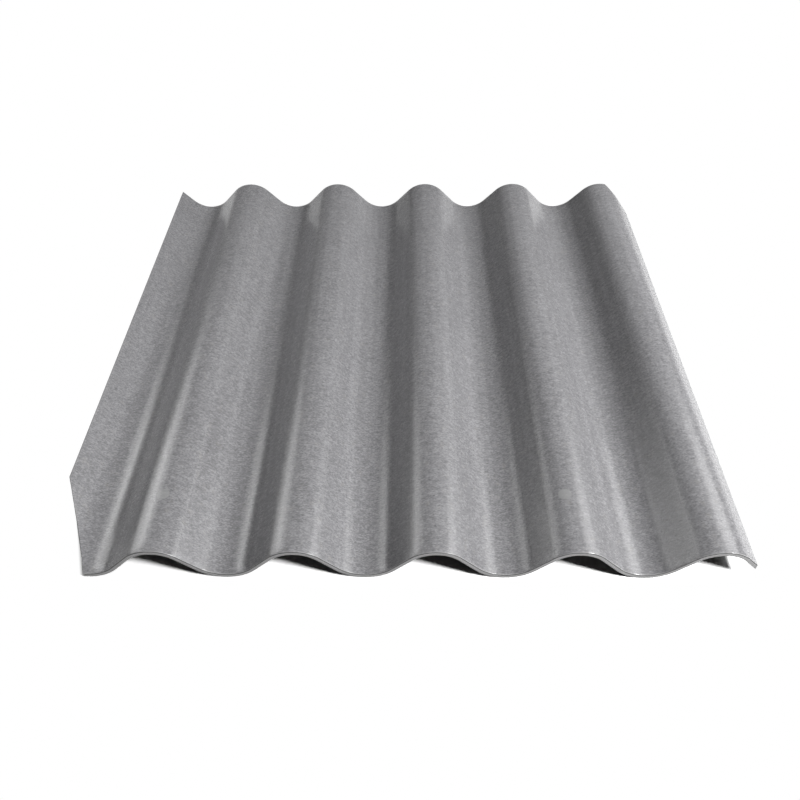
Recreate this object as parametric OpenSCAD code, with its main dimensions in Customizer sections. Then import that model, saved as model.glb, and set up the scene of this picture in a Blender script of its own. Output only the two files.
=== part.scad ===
// Corrugated roofing sheet of fibre cement, lying flat with its waves along Y.
// One pressed board of even thickness: round crests and valleys joined by straight flanks,
// with two opposite corners cut off where four sheets meet on a roof.

/* [Sheet] */
// Width across the waves, edge to edge
sheet_w = 895; // [400:5:1400]
// Length along the waves
sheet_l = 875; // [400:5:3000]
// Thickness of the board
board_t = 6.5; // [4:0.1:10]

/* [Waves] */
// Distance from crest to crest
wave_pitch = 177; // [120:1:240]
// Rise from valley to crest, taken on one face
wave_h = 51; // [25:1:75]
// Bend radius of every crest, at mid-thickness
crest_r = 43; // [15:1:60]
// Bend radius of every valley, at mid-thickness
valley_r = 49; // [15:1:60]
// Distance from the left edge to the first crest
left_lap = 142; // [60:1:240]

/* [Cut corners] */
// Front left corner, width of the cut across the waves
front_cut_w = 47; // [10:1:150]
// Front left corner, length of the cut along the waves
front_cut_l = 130; // [10:1:250]
// Rear right corner, width of the cut across the waves
rear_cut_w = 34; // [10:1:150]
// Rear right corner, length of the cut along the waves
rear_cut_l = 74; // [10:1:250]

/* [Hidden] */

bend_steps = 20; // flats along each bend, an even number so that one point is the crest itself
clear = 1; // how far a cutting tool runs past what it cuts

// A flank is the straight line that touches the bend of a crest and the bend of a valley, so the
// two must stay apart: a short or high wave limits its own bend radii.
half_pitch = wave_pitch / 2;
touching_r = (half_pitch ^ 2 + wave_h ^ 2) / (2 * wave_h);
both_r = min(crest_r + valley_r, 0.95 * touching_r);
mid_crest_r = both_r * crest_r / (crest_r + valley_r);
mid_valley_r = both_r - mid_crest_r;
centre_drop = both_r - wave_h;
centre_gap = sqrt(half_pitch ^ 2 + centre_drop ^ 2);
flank_angle = asin(both_r / centre_gap) - atan2(centre_drop, half_pitch);

valley_z = mid_valley_r + board_t / 2;
crest_z = valley_z - centre_drop;
first_wave = -ceil(left_lap / wave_pitch);
last_wave = ceil((sheet_w - left_lap) / wave_pitch);

// Points of a bend about its centre, from one angle to another
function bend(centre, r, from, to) = [
    for (i = [0 : bend_steps])
        let (a = from + (to - from) * i / bend_steps)
        centre + r * [cos(a), sin(a)]
];

// One face of the board from left to right: side is 1 for the upper face and -1 for the lower
function face(side) = [
    for (i = [first_wave : last_wave])
        let (
            crest = [left_lap + i * wave_pitch, crest_z],
            valley = [crest.x + half_pitch, valley_z],
            offset = side * board_t / 2
        )
        each concat(
            bend(crest, mid_crest_r + offset, 90 + flank_angle, 90 - flank_angle),
            bend(valley, mid_valley_r - offset, 270 - flank_angle, 270 + flank_angle)
        )
];

function reversed(points) = [for (i = [len(points) - 1 : -1 : 0]) points[i]];

// Cross-section of the sheet, trimmed to its width, with the left edge at x = 0
module section() {
    intersection() {
        polygon(concat(face(1), reversed(face(-1))));
        square([sheet_w, wave_h + board_t]);
    }
}

// Straight cut across a corner at the origin, for a sheet that lies in the first quadrant
module corner_cut(w, l) {
    linear_extrude(wave_h + board_t + 2 * clear)
        polygon([
            [-clear, -clear],
            [w * (1 + clear / l), -clear],
            [-clear, l * (1 + clear / w)]
        ]);
}

module sheet() {
    color("silver") difference() {
        translate([-sheet_w / 2, 0, 0])
            rotate([90, 0, 0])
                linear_extrude(sheet_l, center = true) section();
        translate([-sheet_w / 2, -sheet_l / 2, -clear])
            corner_cut(front_cut_w, front_cut_l);
        translate([sheet_w / 2, sheet_l / 2, -clear])
            rotate(180) corner_cut(rear_cut_w, rear_cut_l);
    }
}

sheet();
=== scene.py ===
import bpy
import bmesh
import math
from mathutils import Matrix, Vector


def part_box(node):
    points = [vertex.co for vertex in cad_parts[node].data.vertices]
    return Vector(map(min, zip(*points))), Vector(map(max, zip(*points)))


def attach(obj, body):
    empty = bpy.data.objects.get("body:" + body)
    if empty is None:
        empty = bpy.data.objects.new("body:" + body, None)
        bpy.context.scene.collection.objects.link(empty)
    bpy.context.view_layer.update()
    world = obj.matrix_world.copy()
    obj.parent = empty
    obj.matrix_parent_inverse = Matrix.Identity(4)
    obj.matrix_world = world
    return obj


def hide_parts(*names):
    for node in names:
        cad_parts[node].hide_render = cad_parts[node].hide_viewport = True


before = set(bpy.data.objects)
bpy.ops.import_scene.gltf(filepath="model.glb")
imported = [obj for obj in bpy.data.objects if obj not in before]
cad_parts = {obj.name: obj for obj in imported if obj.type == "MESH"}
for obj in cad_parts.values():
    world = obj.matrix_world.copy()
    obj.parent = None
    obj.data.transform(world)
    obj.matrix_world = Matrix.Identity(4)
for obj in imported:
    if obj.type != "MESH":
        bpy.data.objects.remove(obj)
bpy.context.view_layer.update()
low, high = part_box("sheet")
middle = (low + high) / 2
print("frame loaded")

cameraSetup = {
    "place": (0.01257, -0.95051, 0.84665),  # metres, from the middle of the sheet's foot
    "pan": -0.0134,  # radians, to the right
    "tilt": 0.7954,  # radians, downwards
    "roll": -0.0090,  # radians, anticlockwise
    "lens": 34.02,  # millimetres
    "nearest": 0.05,  # metres
    "furthest": 50,
}


def addCamera(setup):
    camera = bpy.data.objects.new("camera", bpy.data.cameras.new("camera"))
    bpy.context.scene.collection.objects.link(camera)
    pan, tilt, roll = setup["pan"], setup["tilt"], setup["roll"]
    ahead = Vector((math.sin(pan) * math.cos(tilt), math.cos(pan) * math.cos(tilt), -math.sin(tilt)))
    right = Vector((math.cos(pan), -math.sin(pan), 0))
    up = right.cross(ahead)
    turned = math.cos(roll) * right + math.sin(roll) * up
    raised = math.cos(roll) * up - math.sin(roll) * right
    axes = Matrix((turned, raised, -ahead)).transposed()
    camera.matrix_world = Matrix.Translation(setup["place"]) @ axes.to_4x4()
    camera.data.lens = setup["lens"]
    camera.data.clip_start = setup["nearest"]
    camera.data.clip_end = setup["furthest"]
    bpy.context.scene.camera = camera


addCamera(cameraSetup)
print("camera placed")

boardShape = {
    "wavePitch": 0.177,  # metres from crest to crest
    "boardThickness": 0.0065,
    "crestRadius": 0.043,  # at half the thickness, as the next one
    "valleyRadius": 0.049,
    "leftLap": 0.142,  # from the left edge to the first crest
    "waves": 5,
    "frontCut": (0.047, 0.130),  # corner cut off at the front left, across and along
    "rearCut": (0.034, 0.074),  # corner cut off at the rear right
    "rows": 84,  # faces along the sheet
    "bendSteps": 16,  # faces round each bend
    "flankSteps": 3,  # faces down each flank
    "weld": 0.00001,  # points closer than this become one
    "topArris": (0.0013, 4),  # rounding of the cut edges on the upper face, and its steps
    "backArris": (0.0004, 1),
    "upright": 0.1,  # the most that a cut edge's normal rises or falls
    "lying": 0.5,  # the least that the upper face's normal rises, and the back's falls
    "smoothBelow": 32,  # degrees, the sharpest turn that is shaded as a bend
}


def waveOf(shape):
    both = shape["crestRadius"] + shape["valleyRadius"]
    half = shape["boardThickness"] / 2
    fall = both - (high.z - low.z - 2 * half)  # crest centre below valley centre
    between = math.hypot(shape["wavePitch"] / 2, fall)
    return {
        "slope": math.asin(both / between) - math.atan2(fall, shape["wavePitch"] / 2),
        "flank": math.sqrt(between ** 2 - both ** 2),
        "crestCentre": high.z - half - shape["crestRadius"],
        "valleyCentre": low.z + half + shape["valleyRadius"],
        "firstCrest": low.x + shape["leftLap"],
    }


def startBoard(name, start):
    bpy.ops.object.select_all(action="DESELECT")
    bpy.ops.mesh.primitive_plane_add(size=high.y - low.y, location=(0, 0, 0))
    board = bpy.context.object
    board.name = name
    board.data.name = name
    bpy.ops.object.mode_set(mode="EDIT")
    bpy.ops.mesh.select_mode(type="VERT")
    bpy.ops.mesh.select_all(action="DESELECT")
    mesh = bmesh.from_edit_mesh(board.data)
    for vert in mesh.verts:
        vert.select = vert.co.x < 0  # the line along the other side stays
    mesh.select_flush_mode()
    bmesh.update_edit_mesh(board.data)
    bpy.ops.mesh.delete(type="VERT")
    bpy.ops.mesh.select_all(action="SELECT")
    bpy.ops.transform.translate(value=start - Vector(((high.y - low.y) / 2, 0, 0)))
    return board


def pullFlank(run, rise, steps):
    for step in range(steps):
        bpy.ops.mesh.extrude_region_move(
            TRANSFORM_OT_translate={"value": (run / steps, 0, rise / steps)})


def bendRound(steps, angle, across, height):
    bpy.ops.mesh.spin(steps=steps, angle=angle, center=(across, middle.y, height), axis=(0, 1, 0))


def faceOutwards():
    bpy.ops.mesh.select_all(action="SELECT")
    bpy.ops.mesh.normals_make_consistent(inside=False)


def cutOff(place, outwards):
    bpy.ops.mesh.select_all(action="SELECT")
    bpy.ops.mesh.bisect(plane_co=place, plane_no=outwards, use_fill=True, clear_outer=True)


def roundArris(board, side, arris, shape):
    width, steps = arris
    bpy.ops.mesh.select_mode(type="EDGE")
    bpy.ops.mesh.select_all(action="DESELECT")
    mesh = bmesh.from_edit_mesh(board.data)
    mesh.normal_update()
    for edge in mesh.edges:
        tilts = [side * face.normal.z for face in edge.link_faces]
        edge.select = abs(min(tilts)) < shape["upright"] and max(tilts) > shape["lying"]
    bmesh.update_edit_mesh(board.data)
    bpy.ops.mesh.bevel(offset=width, segments=steps, affect="EDGES", clamp_overlap=False)


def makeBoard(name, shape, wave):
    pitch, slope, valleyRadius = shape["wavePitch"], wave["slope"], shape["valleyRadius"]
    run, drop = wave["flank"] * math.cos(slope), wave["flank"] * math.sin(slope)
    firstValley = wave["firstCrest"] - pitch / 2
    board = startBoard(name, Vector((
        firstValley - valleyRadius * math.sin(slope) - run,
        middle.y,
        wave["valleyCentre"] - valleyRadius * math.cos(slope) + drop)))

    bpy.ops.mesh.subdivide(number_cuts=shape["rows"] - 1)
    for count in range(shape["waves"]):
        valley = firstValley + count * pitch
        pullFlank(run, -drop, shape["flankSteps"])
        bendRound(shape["bendSteps"], 2 * slope, valley, wave["valleyCentre"])
        pullFlank(run, drop, shape["flankSteps"])
        bendRound(shape["bendSteps"], -2 * slope, valley + pitch / 2, wave["crestCentre"])
    pullFlank(run, -drop, shape["flankSteps"])
    bpy.ops.mesh.select_all(action="SELECT")
    bpy.ops.mesh.remove_doubles(threshold=shape["weld"])
    faceOutwards()

    # the wave gets its thickness half to each side
    bpy.ops.object.mode_set(mode="OBJECT")
    wall = board.modifiers.new("boardThickness", "SOLIDIFY")
    wall.thickness = shape["boardThickness"]
    wall.offset = 0
    wall.use_even_offset = True
    bpy.ops.object.modifier_apply(modifier=wall.name)

    bpy.ops.object.mode_set(mode="EDIT")
    cutOff((low.x, 0, 0), (-1, 0, 0))
    cutOff((high.x, 0, 0), (1, 0, 0))
    across, along = shape["frontCut"]
    cutOff((low.x, low.y + along, 0), (-along, -across, 0))
    across, along = shape["rearCut"]
    cutOff((high.x, high.y - along, 0), (along, across, 0))
    faceOutwards()
    roundArris(board, 1, shape["topArris"], shape)
    roundArris(board, -1, shape["backArris"], shape)
    bpy.ops.object.mode_set(mode="OBJECT")
    bpy.ops.object.shade_smooth_by_angle(angle=math.radians(shape["smoothBelow"]))
    return board


boardWave = waveOf(boardShape)
board = makeBoard("fibreCementSheet", boardShape, boardWave)
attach(board, "root")
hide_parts("sheet")
print("sheet modelled:", len(board.data.vertices), "points")


def addNode(tree, kind, **settings):
    node = tree.nodes.new(kind)
    for name, value in settings.items():
        setattr(node, name, value)
    return node


def plug(tree, source, socket):
    if isinstance(source, bpy.types.NodeSocket):
        tree.links.new(source, socket)
    else:
        socket.default_value = source


def calc(tree, operation, *sources, clamp=False):
    node = addNode(tree, "ShaderNodeMath", operation=operation, use_clamp=clamp)
    for source, socket in zip(sources, node.inputs):
        plug(tree, source, socket)
    return node.outputs[0]


def lengthOf(tree, first, second):
    return calc(tree, "SQRT", calc(tree, "ADD", calc(tree, "MULTIPLY", first, first),
                                   calc(tree, "MULTIPLY", second, second)))


def ramp(tree, source, fromLow, fromHigh, toLow=0.0, toHigh=1.0):
    node = addNode(tree, "ShaderNodeMapRange", interpolation_type="SMOOTHSTEP")
    for value, socket in zip((source, fromLow, fromHigh, toLow, toHigh), node.inputs):
        plug(tree, value, socket)
    return node.outputs[0]


def split(tree, position):
    node = addNode(tree, "ShaderNodeSeparateXYZ")
    plug(tree, position, node.inputs[0])
    return node.outputs


def stretch(tree, position, factors):
    node = addNode(tree, "ShaderNodeVectorMath", operation="MULTIPLY")
    plug(tree, position, node.inputs[0])
    plug(tree, factors, node.inputs[1])
    return node.outputs[0]


def addNoise(tree, position, scale, detail, roughness):
    node = addNode(tree, "ShaderNodeTexNoise")
    sources = {"Vector": position, "Scale": scale, "Detail": detail, "Roughness": roughness}
    for name, source in sources.items():
        plug(tree, source, node.inputs[name])
    return node.outputs[0]


def mixColour(tree, share, first, second):
    node = addNode(tree, "ShaderNodeMix", data_type="RGBA")
    plug(tree, share, node.inputs["Factor"])
    plug(tree, first, node.inputs[6])
    plug(tree, second, node.inputs[7])
    return node.outputs[2]


def layOver(tree, colour, mask, strength, coat):
    return mixColour(tree, calc(tree, "MULTIPLY", mask, strength), colour, coat)


def startGroup(name, inputs, outputs):
    tree = bpy.data.node_groups.new(name, "ShaderNodeTree")
    for label, value in inputs.items():
        kind = "NodeSocketFloat" if isinstance(value, (int, float)) else "NodeSocketVector"
        tree.interface.new_socket(label, in_out="INPUT", socket_type=kind).default_value = value
    for label in outputs:
        tree.interface.new_socket(label, in_out="OUTPUT", socket_type="NodeSocketFloat")
    given = addNode(tree, "NodeGroupInput")
    result = addNode(tree, "NodeGroupOutput")
    return tree, given.outputs, result.inputs


def placeGroup(tree, group, **values):
    node = addNode(tree, "ShaderNodeGroup", node_tree=group)
    for label, value in values.items():
        plug(tree, value, node.inputs[label.replace("_", " ")])
    return node.outputs


patternShape = {
    "fineGrain": (2, 0.55),  # detail and roughness of the noise, as the next three
    "cloudGrain": (4, 0.6),
    "pressGrain": (3, 0.5),
    "raggedGrain": (4, 0.5),
    "raggedSize": 220,  # turns in a metre along a worn edge
    "raggedReach": 4.0,  # how far they wander
    "fleckLeast": 0.4,  # size of the smallest fleck
    "fleckCore": 0.4,  # how much of a fleck's width is full
    "spotCore": 0.78,  # the same of a spot
}


def makeGrainGroup(pattern):
    tree, given, result = startGroup(
        "cementGrain", {"Position": (0, 0, 0), "Grain": 400.0, "Cloud": 25.0, "Cloud Share": 0.3},
        ("Tone", "Grit"))
    fine = addNoise(tree, given["Position"], given["Grain"], *pattern["fineGrain"])
    coarse = addNoise(tree, given["Position"], given["Cloud"], *pattern["cloudGrain"])
    keep = calc(tree, "SUBTRACT", 1.0, given["Cloud Share"])
    tone = calc(tree, "ADD", calc(tree, "MULTIPLY", fine, keep),
                calc(tree, "MULTIPLY", coarse, given["Cloud Share"]))
    plug(tree, tone, result["Tone"])
    plug(tree, fine, result["Grit"])
    return tree


def makeFleckGroup(pattern):
    tree, given, result = startGroup(
        "flecks", {"Position": (0, 0, 0), "Spacing": 300.0, "Share": 0.1, "Size": 0.3}, ("Mask",))
    cells = addNode(tree, "ShaderNodeTexVoronoi")
    plug(tree, given["Position"], cells.inputs["Vector"])
    plug(tree, given["Spacing"], cells.inputs["Scale"])
    pick = addNode(tree, "ShaderNodeSeparateColor")
    plug(tree, cells.outputs["Color"], pick.inputs[0])
    chosen = calc(tree, "LESS_THAN", pick.outputs[0], given["Share"])
    reach = calc(tree, "MULTIPLY", given["Size"], calc(tree, "ADD", pick.outputs[1], pattern["fleckLeast"]))
    core = calc(tree, "MULTIPLY", reach, pattern["fleckCore"])
    near = ramp(tree, cells.outputs["Distance"], reach, core)
    plug(tree, calc(tree, "MULTIPLY", near, chosen), result["Mask"])
    return tree


def makePressGroup(pattern):
    tree, given, result = startGroup(
        "pressLines", {"Position": (0, 0, 0), "Across": 60.0, "Along": 2.0}, ("Tone",))
    factors = addNode(tree, "ShaderNodeCombineXYZ")
    for axis, size in zip("XYZ", ("Across", "Along", "Across")):
        plug(tree, given[size], factors.inputs[axis])
    drawn = stretch(tree, given["Position"], factors.outputs[0])
    plug(tree, addNoise(tree, drawn, 1.0, *pattern["pressGrain"]), result["Tone"])
    return tree


def makeWearGroup(pattern, shape):
    half = (high - low) / 2
    tree, given, result = startGroup(
        "edgeWear", {"Position": (0, 0, 0), "Half Size": (half.x, half.y, 0),
                     "Front Cut": (*shape["frontCut"], 0), "Rear Cut": (*shape["rearCut"], 0),
                     "Reach": 0.004, "Ragged": 0.5}, ("Mask", "Distance"))
    across, along = split(tree, given["Position"])[:2]
    halfWidth, halfLength = split(tree, given["Half Size"])[:2]
    nearest = calc(tree, "MINIMUM",
                   calc(tree, "SUBTRACT", halfWidth, calc(tree, "ABSOLUTE", across)),
                   calc(tree, "SUBTRACT", halfLength, calc(tree, "ABSOLUTE", along)))
    for label, side in (("Front Cut", 1.0), ("Rear Cut", -1.0)):
        width, length = split(tree, given[label])[:2]
        sideways = calc(tree, "DIVIDE", calc(tree, "MULTIPLY_ADD", across, side, halfWidth), width)
        endways = calc(tree, "DIVIDE", calc(tree, "MULTIPLY_ADD", along, side, halfLength), length)
        past = calc(tree, "SUBTRACT", calc(tree, "ADD", sideways, endways), 1.0)
        steepness = lengthOf(tree, calc(tree, "DIVIDE", 1.0, width), calc(tree, "DIVIDE", 1.0, length))
        nearest = calc(tree, "MINIMUM", nearest, calc(tree, "DIVIDE", past, steepness))
    ragged = addNoise(tree, given["Position"], pattern["raggedSize"], *pattern["raggedGrain"])
    wander = calc(tree, "MULTIPLY", calc(tree, "SUBTRACT", ragged, 0.5), given["Ragged"])
    reach = calc(tree, "MULTIPLY", given["Reach"],
                 calc(tree, "MULTIPLY_ADD", wander, pattern["raggedReach"], 1.0))
    plug(tree, ramp(tree, nearest, reach, 0.0), result["Mask"])
    plug(tree, nearest, result["Distance"])
    return tree


# how deep a point lies below the upper face, square to the board
def makeDepthGroup(shape, wave):
    tree, given, result = startGroup("boardDepth", {"Position": (0, 0, 0)}, ("Depth",))
    place = split(tree, given["Position"])
    across, height = place[0], place[2]
    pitch, crest, valley = shape["wavePitch"], shape["crestRadius"], shape["valleyRadius"]
    rise, run = math.cos(wave["slope"]), math.sin(wave["slope"])
    shifted = calc(tree, "ADD", across, pitch / 2 - wave["firstCrest"])
    folded = calc(tree, "SUBTRACT", calc(tree, "FLOORED_MODULO", shifted, pitch), pitch / 2)
    away = calc(tree, "ABSOLUTE", folded)
    fromValley = calc(tree, "SUBTRACT", pitch / 2, away)

    aboveCentre = calc(tree, "SUBTRACT", height, wave["crestCentre"])
    overCrest = calc(tree, "SUBTRACT", lengthOf(tree, away, aboveCentre), crest)
    belowCentre = calc(tree, "SUBTRACT", wave["valleyCentre"], height)
    overValley = calc(tree, "SUBTRACT", valley, lengthOf(tree, fromValley, belowCentre))
    upwards = calc(tree, "MULTIPLY", calc(tree, "SUBTRACT", height, wave["crestCentre"] + crest * rise), rise)
    sideways = calc(tree, "MULTIPLY", calc(tree, "SUBTRACT", away, crest * run), run)
    overFlank = calc(tree, "ADD", upwards, sideways)

    pastCrest = calc(tree, "GREATER_THAN", away, crest * run)
    pastFlank = calc(tree, "GREATER_THAN", away, pitch / 2 - valley * run)
    over = overCrest
    for later, switch in ((overFlank, pastCrest), (overValley, pastFlank)):
        step = calc(tree, "MULTIPLY", calc(tree, "SUBTRACT", later, over), switch)
        over = calc(tree, "ADD", over, step)
    plug(tree, calc(tree, "SUBTRACT", shape["boardThickness"] / 2, over), result["Depth"])
    return tree


def makeSpotGroup(pattern):
    tree, given, result = startGroup(
        "fixingSpot", {"Position": (0, 0, 0), "Centre": (0, 0, 0), "Radius": 0.01}, ("Mask",))
    apart = addNode(tree, "ShaderNodeVectorMath", operation="DISTANCE")
    plug(tree, stretch(tree, given["Position"], (1, 1, 0)), apart.inputs[0])
    plug(tree, stretch(tree, given["Centre"], (1, 1, 0)), apart.inputs[1])
    core = calc(tree, "MULTIPLY", given["Radius"], pattern["spotCore"])
    plug(tree, ramp(tree, apart.outputs["Value"], given["Radius"], core), result["Mask"])
    return tree


groups = {
    "grain": makeGrainGroup(patternShape),
    "flecks": makeFleckGroup(patternShape),
    "press": makePressGroup(patternShape),
    "wear": makeWearGroup(patternShape, boardShape),
    "depth": makeDepthGroup(boardShape, boardWave),
    "spot": makeSpotGroup(patternShape),
}

skinFinish = {
    "dark": (0.100, 0.099, 0.103, 1),
    "light": (0.415, 0.412, 0.427, 1),
    "grainSize": (320, 760, 320),  # grains in a metre, across, along and upwards
    "grainDepth": 2.0,
    "coarseSize": 0.36,  # coarse grains for each of those
    "coarseShare": 0.4,
    "cloudSize": (90.0, 14.0),  # small and large clouds in a metre
    "cloudShare": 0.55,  # how much of the large ones
    "cloudDepth": 0.30,
    "bandSize": (75.0, 1.6),  # press lines in a metre, across and along the waves
    "bandDepth": 0.32,
    "warm": (0.300, 0.285, 0.255, 1),
    "warmFrom": (0.58, 0.78),  # where the small clouds take the warm tint
    "warmStrength": 0.25,
    "pits": {"colour": (0.060, 0.060, 0.062, 1), "strength": 0.5, "shape": (0.6, 1, 0.6),
             "spacing": 420.0, "share": 0.10, "size": 0.36},
    "specks": {"colour": (0.520, 0.520, 0.520, 1), "strength": 0.4, "shape": (0.7, 1, 0.7),
               "spacing": 530.0, "share": 0.07, "size": 0.34},
    # lighter colour for real edge wear, also laid on the rounded arris as a painted highlight
    "wearAndHighlight": (0.520, 0.520, 0.518, 1),
    "wearReach": 0.0022,
    "wearRagged": 0.5,
    "wearStrength": 0.3,
    "spots": ((0.1413, 0.0885), (0.6657, 0.0900)),  # filled screw holes, from the left and front edges
    "filled": (0.315, 0.316, 0.318, 1),
    "spotRadius": 0.00952,
    "spotStrength": 0.92,
    "spotFlatness": 0.85,  # how much of the relief they lose
    "roughness": (0.22, 0.29),  # where it is dark and where it is light
    "roughnessFrom": (0.2, 0.8),  # how dark and how light, of 1
    "specular": 0.75,
    "relief": 0.00018,
    "pitRelief": 0.5,
    "topSide": True,
    "arrisFrom": 0.0001,  # how deep the rounded arris starts
    # how strongly the arris is painted lighter, a painted highlight
    "arrisHighlightStrength": 0.7,
    "arrisShine": 0.03,  # how much smoother it is
    "shadeLine": (0.045, 0.045, 0.047, 1),  # painted shade: dark line along the edges, for the shaded lower arris and cut face
    "shadeLineFrom": 0.0004,  # how deep on the rounded arris it starts
    "lineBlur": 0.0001,
    "sideShade": 0.0009,  # width of the painted shade line along the side edges
    "sideShadeBlur": 0.0003,
    "sideShadeStrength": 0.7,
    "sideShadeEnds": (0.002, 0.005),  # it fades out this far from the front and rear ends
}

backFinish = dict(
    skinFinish,
    dark=(0.215, 0.214, 0.208, 1),
    light=(0.370, 0.368, 0.360, 1),
    grainSize=(210, 300, 210),
    cloudDepth=0.9,
    bandDepth=0.9,
    pits=dict(skinFinish["pits"], share=0.05),
    specks=dict(skinFinish["specks"], share=0.03),
    spots=(),
    roughness=(0.55, 0.7),
    specular=0.3,
    relief=0.0003,
    topSide=False,
)

edgeFinish = {
    # cut cement is lighter than the skin, and is made lighter still as painted light on the end faces
    "dark": (0.450, 0.449, 0.450, 1),
    "light": (0.660, 0.658, 0.660, 1),
    "grainSize": (900.0, 160.0),  # fine and coarse grains in a metre
    "coarseShare": 0.4,
    "grainDepth": 1.5,
    "layer": 0.0011,  # thickness of one layer of the board
    "layerDepth": 0.12,
    "layerWander": 0.0007,
    "shadeLine": (0.045, 0.045, 0.047, 1),
    "shadeLineFrom": 0.0004,  # how deep the painted shade line along the upper face starts and ends
    "shadeLineTo": 0.0017,
    "shadeLineBlur": 0.0005,
    "shadeLineStrength": 0.9,
    "roughness": 0.8,
    "relief": 0.0002,
    "tilt": 0.02,  # the most that a cut edge's normal rises or falls
}


def startMaterial(name):
    material = bpy.data.materials.new(name)
    material.use_nodes = True
    tree = material.node_tree
    where = addNode(tree, "ShaderNodeTexCoord").outputs["Object"]
    return material, tree, tree.nodes["Principled BSDF"].inputs, where


def addRelief(tree, height, depth, socket):
    bump = addNode(tree, "ShaderNodeBump")
    bump.inputs["Distance"].default_value = depth
    plug(tree, height, bump.inputs["Height"])
    plug(tree, bump.outputs[0], socket)


def addFlecks(tree, where, flecks):
    return placeGroup(tree, groups["flecks"], Position=stretch(tree, where, flecks["shape"]),
                      Spacing=flecks["spacing"], Share=flecks["share"], Size=flecks["size"])["Mask"]


def addSpots(tree, where, finish):
    spots = 0.0
    for across, along in finish["spots"]:
        mask = placeGroup(tree, groups["spot"], Position=where, Radius=finish["spotRadius"],
                          Centre=(low.x + across, low.y + along, 0))["Mask"]
        spots = calc(tree, "MAXIMUM", mask, spots)
    return spots


# painted highlight on the rounded arris, and a painted shade line along the edges of the upper face
def paintEdgeHighlightAndShade(tree, where, colour, distance, finish):
    depth = placeGroup(tree, groups["depth"], Position=where)["Depth"]
    blur = finish["lineBlur"]
    arris = ramp(tree, depth, finish["arrisFrom"], finish["arrisFrom"] + blur)
    shadeLine = ramp(tree, depth, finish["shadeLineFrom"] - blur, finish["shadeLineFrom"] + blur)
    sideShade = ramp(tree, distance, finish["sideShade"] + finish["sideShadeBlur"], finish["sideShade"] - finish["sideShadeBlur"])
    near, far = finish["sideShadeEnds"]
    along = calc(tree, "ABSOLUTE", split(tree, where)[1])
    sideShade = calc(tree, "MULTIPLY", sideShade, ramp(tree, along, high.y - near, high.y - far))
    # painted highlight: the arris made lighter; painted shade: a dark line below it and along the side edges
    colour = layOver(tree, colour, arris, finish["arrisHighlightStrength"], finish["wearAndHighlight"])
    colour = mixColour(tree, shadeLine, colour, finish["shadeLine"])
    colour = layOver(tree, colour, sideShade, finish["sideShadeStrength"], finish["shadeLine"])
    return colour, arris


def makeSkin(name, finish):
    material, tree, shader, where = startMaterial(name)
    smallCloud, largeCloud = finish["cloudSize"]
    bandAcross, bandAlong = finish["bandSize"]
    grain = placeGroup(tree, groups["grain"], Position=stretch(tree, where, finish["grainSize"]),
                       Grain=1.0, Cloud=finish["coarseSize"], Cloud_Share=finish["coarseShare"])
    cloud = placeGroup(tree, groups["grain"], Position=where, Grain=smallCloud, Cloud=largeCloud,
                       Cloud_Share=finish["cloudShare"])
    bands = placeGroup(tree, groups["press"], Position=where, Across=bandAcross, Along=bandAlong)
    tone = 0.5
    for outputs, depth in ((grain, "grainDepth"), (cloud, "cloudDepth"), (bands, "bandDepth")):
        offset = calc(tree, "SUBTRACT", outputs["Tone"], 0.5)
        tone = calc(tree, "MULTIPLY_ADD", offset, finish[depth], tone)
    warm = ramp(tree, cloud["Grit"], *finish["warmFrom"])
    pits = addFlecks(tree, where, finish["pits"])
    specks = addFlecks(tree, where, finish["specks"])
    spots = addSpots(tree, where, finish)
    edge = placeGroup(tree, groups["wear"], Position=where, Reach=finish["wearReach"],
                      Ragged=finish["wearRagged"])

    colour = mixColour(tree, tone, finish["dark"], finish["light"])
    colour = layOver(tree, colour, warm, finish["warmStrength"], finish["warm"])
    colour = layOver(tree, colour, pits, finish["pits"]["strength"], finish["pits"]["colour"])
    colour = layOver(tree, colour, specks, finish["specks"]["strength"], finish["specks"]["colour"])
    colour = layOver(tree, colour, spots, finish["spotStrength"], finish["filled"])
    # real edge wear, lighter near the edges; inside the side shade line it also serves as a painted highlight
    colour = layOver(tree, colour, edge["Mask"], finish["wearStrength"], finish["wearAndHighlight"])
    gloss = ramp(tree, tone, *finish["roughnessFrom"], *finish["roughness"])
    if finish["topSide"]:
        colour, arris = paintEdgeHighlightAndShade(tree, where, colour, edge["Distance"], finish)
        gloss = calc(tree, "MULTIPLY_ADD", arris, -finish["arrisShine"], gloss)
    plug(tree, colour, shader["Base Color"])
    plug(tree, gloss, shader["Roughness"])
    shader["Specular IOR Level"].default_value = finish["specular"]

    ground = calc(tree, "SUBTRACT", grain["Grit"], calc(tree, "MULTIPLY", pits, finish["pitRelief"]))
    level = calc(tree, "SUBTRACT", 1.0, calc(tree, "MULTIPLY", spots, finish["spotFlatness"]))
    addRelief(tree, calc(tree, "MULTIPLY", ground, level), finish["relief"], shader["Normal"])
    return material


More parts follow.
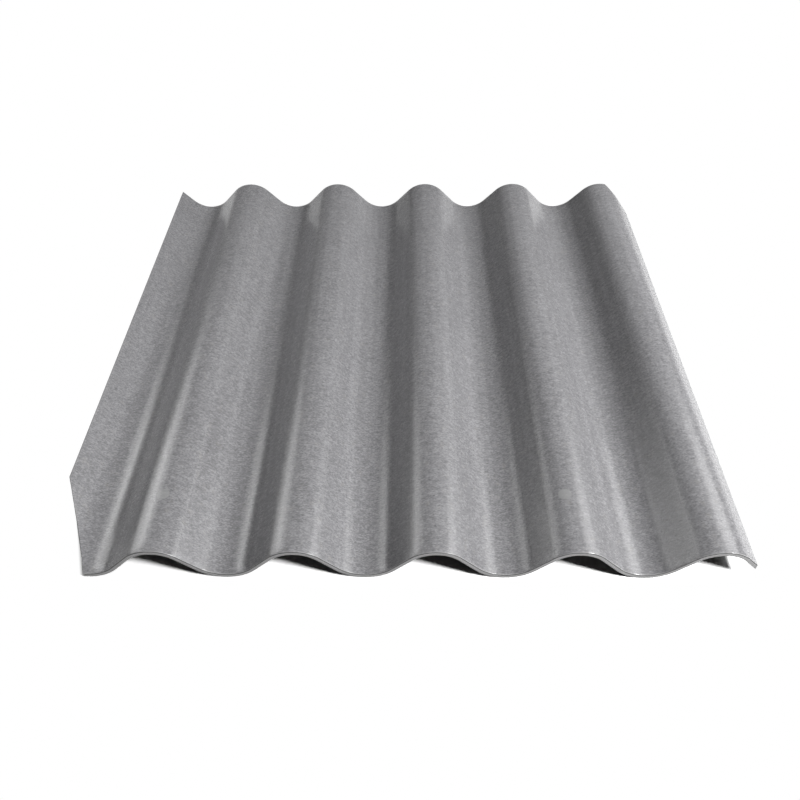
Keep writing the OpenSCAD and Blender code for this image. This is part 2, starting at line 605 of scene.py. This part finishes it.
def makeCutEdge(name, finish):
    material, tree, shader, where = startMaterial(name)
    fine, coarse = finish["grainSize"]
    depth = placeGroup(tree, groups["depth"], Position=where)["Depth"]
    grain = placeGroup(tree, groups["grain"], Position=where, Grain=fine, Cloud=coarse,
                       Cloud_Share=finish["coarseShare"])["Tone"]
    wander = calc(tree, "MULTIPLY_ADD", grain, finish["layerWander"], depth)
    layer = calc(tree, "SINE", calc(tree, "MULTIPLY", wander, 2 * math.pi / finish["layer"]))
    tone = calc(tree, "MULTIPLY_ADD", calc(tree, "SUBTRACT", grain, 0.5), finish["grainDepth"], 0.5)
    tone = calc(tree, "MULTIPLY_ADD", layer, finish["layerDepth"], tone, clamp=True)
    # painted shade: a dark line across the top of the cut face, under the arris
    shadeLineStart = ramp(tree, wander, finish["shadeLineFrom"], finish["shadeLineFrom"] + finish["shadeLineBlur"])
    shadeLineEnd = ramp(tree, wander, finish["shadeLineTo"] + finish["shadeLineBlur"], finish["shadeLineTo"])
    shadeLine = calc(tree, "MULTIPLY", shadeLineStart, shadeLineEnd)
    colour = mixColour(tree, tone, finish["dark"], finish["light"])
    colour = layOver(tree, colour, shadeLine, finish["shadeLineStrength"], finish["shadeLine"])
    plug(tree, colour, shader["Base Color"])
    shader["Roughness"].default_value = finish["roughness"]
    addRelief(tree, tone, finish["relief"], shader["Normal"])
    return material


def dress(board):
    for material in (makeSkin("cementSkin", skinFinish), makeSkin("cementBack", backFinish),
                     makeCutEdge("cementCut", edgeFinish)):
        board.data.materials.append(material)
    tilt = edgeFinish["tilt"]
    for face in board.data.polygons:
        face.material_index = 0 if face.normal.z > tilt else 1 if face.normal.z < -tilt else 2


dress(board)
print("finish made")

studio = {
    "floorSize": 40,
    "floorSeen": 1.45,  # colour of the floor near the sheet, for the camera
    "floorMirrored": 1.0,  # the same in reflections
    "floorLight": 0.03,  # how much light it sends back
    "fadeFrom": 0.0005,  # where the floor starts to turn plain white, metres outside the sheet
    "fadeTo": 0.018,  # where it ends
    "frontFadeTo": 0.006,  # the same along the front end
    "frontReach": (0.10, 0.20),  # from the front end, where the one goes over into the other
    "surround": 0.006,  # soft light from all round
    "surroundSeen": 1.0,  # how bright it is for the camera
    "surroundMirrored": 0.2,  # the same in reflections
}


def byRay(tree, path, lit, seen, mirrored):
    glossy = calc(tree, "MAXIMUM", path["Is Glossy Ray"], path["Is Transmission Ray"])
    value = calc(tree, "MULTIPLY_ADD", glossy, mirrored - lit, lit)
    return calc(tree, "MULTIPLY_ADD", path["Is Camera Ray"], seen - lit, value)


def mixShaders(tree, share, first, second):
    node = addNode(tree, "ShaderNodeMixShader")
    for source, socket in zip((share, first.outputs[0], second.outputs[0]), node.inputs):
        plug(tree, source, socket)
    return node


# the floor shows shadow close to the sheet, is plain white further out, and is clear from underneath
def makeFloorPaint(setup):
    paint = bpy.data.materials.new("palePaint")
    paint.use_nodes = True
    tree = paint.node_tree
    tree.nodes.clear()
    path = addNode(tree, "ShaderNodeLightPath").outputs
    shadowed = addNode(tree, "ShaderNodeBsdfDiffuse")
    plug(tree, byRay(tree, path, setup["floorLight"], setup["floorSeen"], setup["floorMirrored"]),
         shadowed.inputs["Color"])
    white = addNode(tree, "ShaderNodeEmission")
    where = addNode(tree, "ShaderNodeTexCoord").outputs["Object"]
    near, far = setup["frontReach"]
    fadeTo = ramp(tree, split(tree, where)[1], low.y + near, low.y + far,
                  setup["frontFadeTo"], setup["fadeTo"])
    inside = placeGroup(tree, groups["wear"], Position=where)["Distance"]
    faded = ramp(tree, calc(tree, "MULTIPLY", inside, -1.0), setup["fadeFrom"], fadeTo)
    surface = mixShaders(tree, calc(tree, "MULTIPLY", faded, path["Is Camera Ray"]), shadowed, white)
    below = addNode(tree, "ShaderNodeNewGeometry").outputs["Backfacing"]
    surface = mixShaders(tree, calc(tree, "MULTIPLY", below, path["Is Camera Ray"]), surface,
                         addNode(tree, "ShaderNodeBsdfTransparent"))
    plug(tree, surface.outputs[0], addNode(tree, "ShaderNodeOutputMaterial").inputs["Surface"])
    return paint


def addFloor(setup):
    bpy.ops.object.select_all(action="DESELECT")
    bpy.ops.mesh.primitive_plane_add(size=setup["floorSize"], location=(0, 0, low.z))
    floor = bpy.context.object
    floor.name = "floor"
    floor.data.materials.append(makeFloorPaint(setup))


def addSurround(setup):
    world = bpy.data.worlds.new("surround")
    bpy.context.scene.world = world
    world.use_nodes = True
    tree = world.node_tree
    tree.nodes.clear()
    path = addNode(tree, "ShaderNodeLightPath").outputs
    light = addNode(tree, "ShaderNodeBackground")
    light.inputs["Color"].default_value = (1, 1, 1, 1)
    plug(tree, byRay(tree, path, setup["surround"], setup["surroundSeen"], setup["surroundMirrored"]),
         light.inputs["Strength"])
    plug(tree, light.outputs[0], addNode(tree, "ShaderNodeOutputWorld").inputs["Surface"])


lamps = {  # degrees round from the right, degrees up, metres away, metres across, watts
    "keyLamp": (325, 38, 3.5, 0.5, 148),
    "leftLamp": (170, 21, 1.3, 0.7, 3.3),
    "rightLamp": (10, 34, 1.3, 0.7, 4.1),
    "rearLamp": (150, 32, 1.8, 0.8, 4.1),
}


def addLamp(name, setup):
    around, up, away, size, watts = setup
    around, up = math.radians(around), math.radians(up)
    outwards = Vector((math.cos(up) * math.cos(around), math.cos(up) * math.sin(around), math.sin(up)))
    lamp = bpy.data.objects.new(name, bpy.data.lights.new(name, "AREA"))
    bpy.context.scene.collection.objects.link(lamp)
    lamp.data.shape = "DISK"
    lamp.data.size = size
    lamp.data.energy = watts
    lamp.visible_camera = False
    lamp.location = middle + away * outwards
    lamp.rotation_mode = "QUATERNION"
    lamp.rotation_quaternion = (-outwards).to_track_quat("-Z", "Y")


addFloor(studio)
addSurround(studio)
for name, setup in lamps.items():
    addLamp(name, setup)
bpy.context.scene.view_settings.view_transform = "Standard"
print("studio lit")
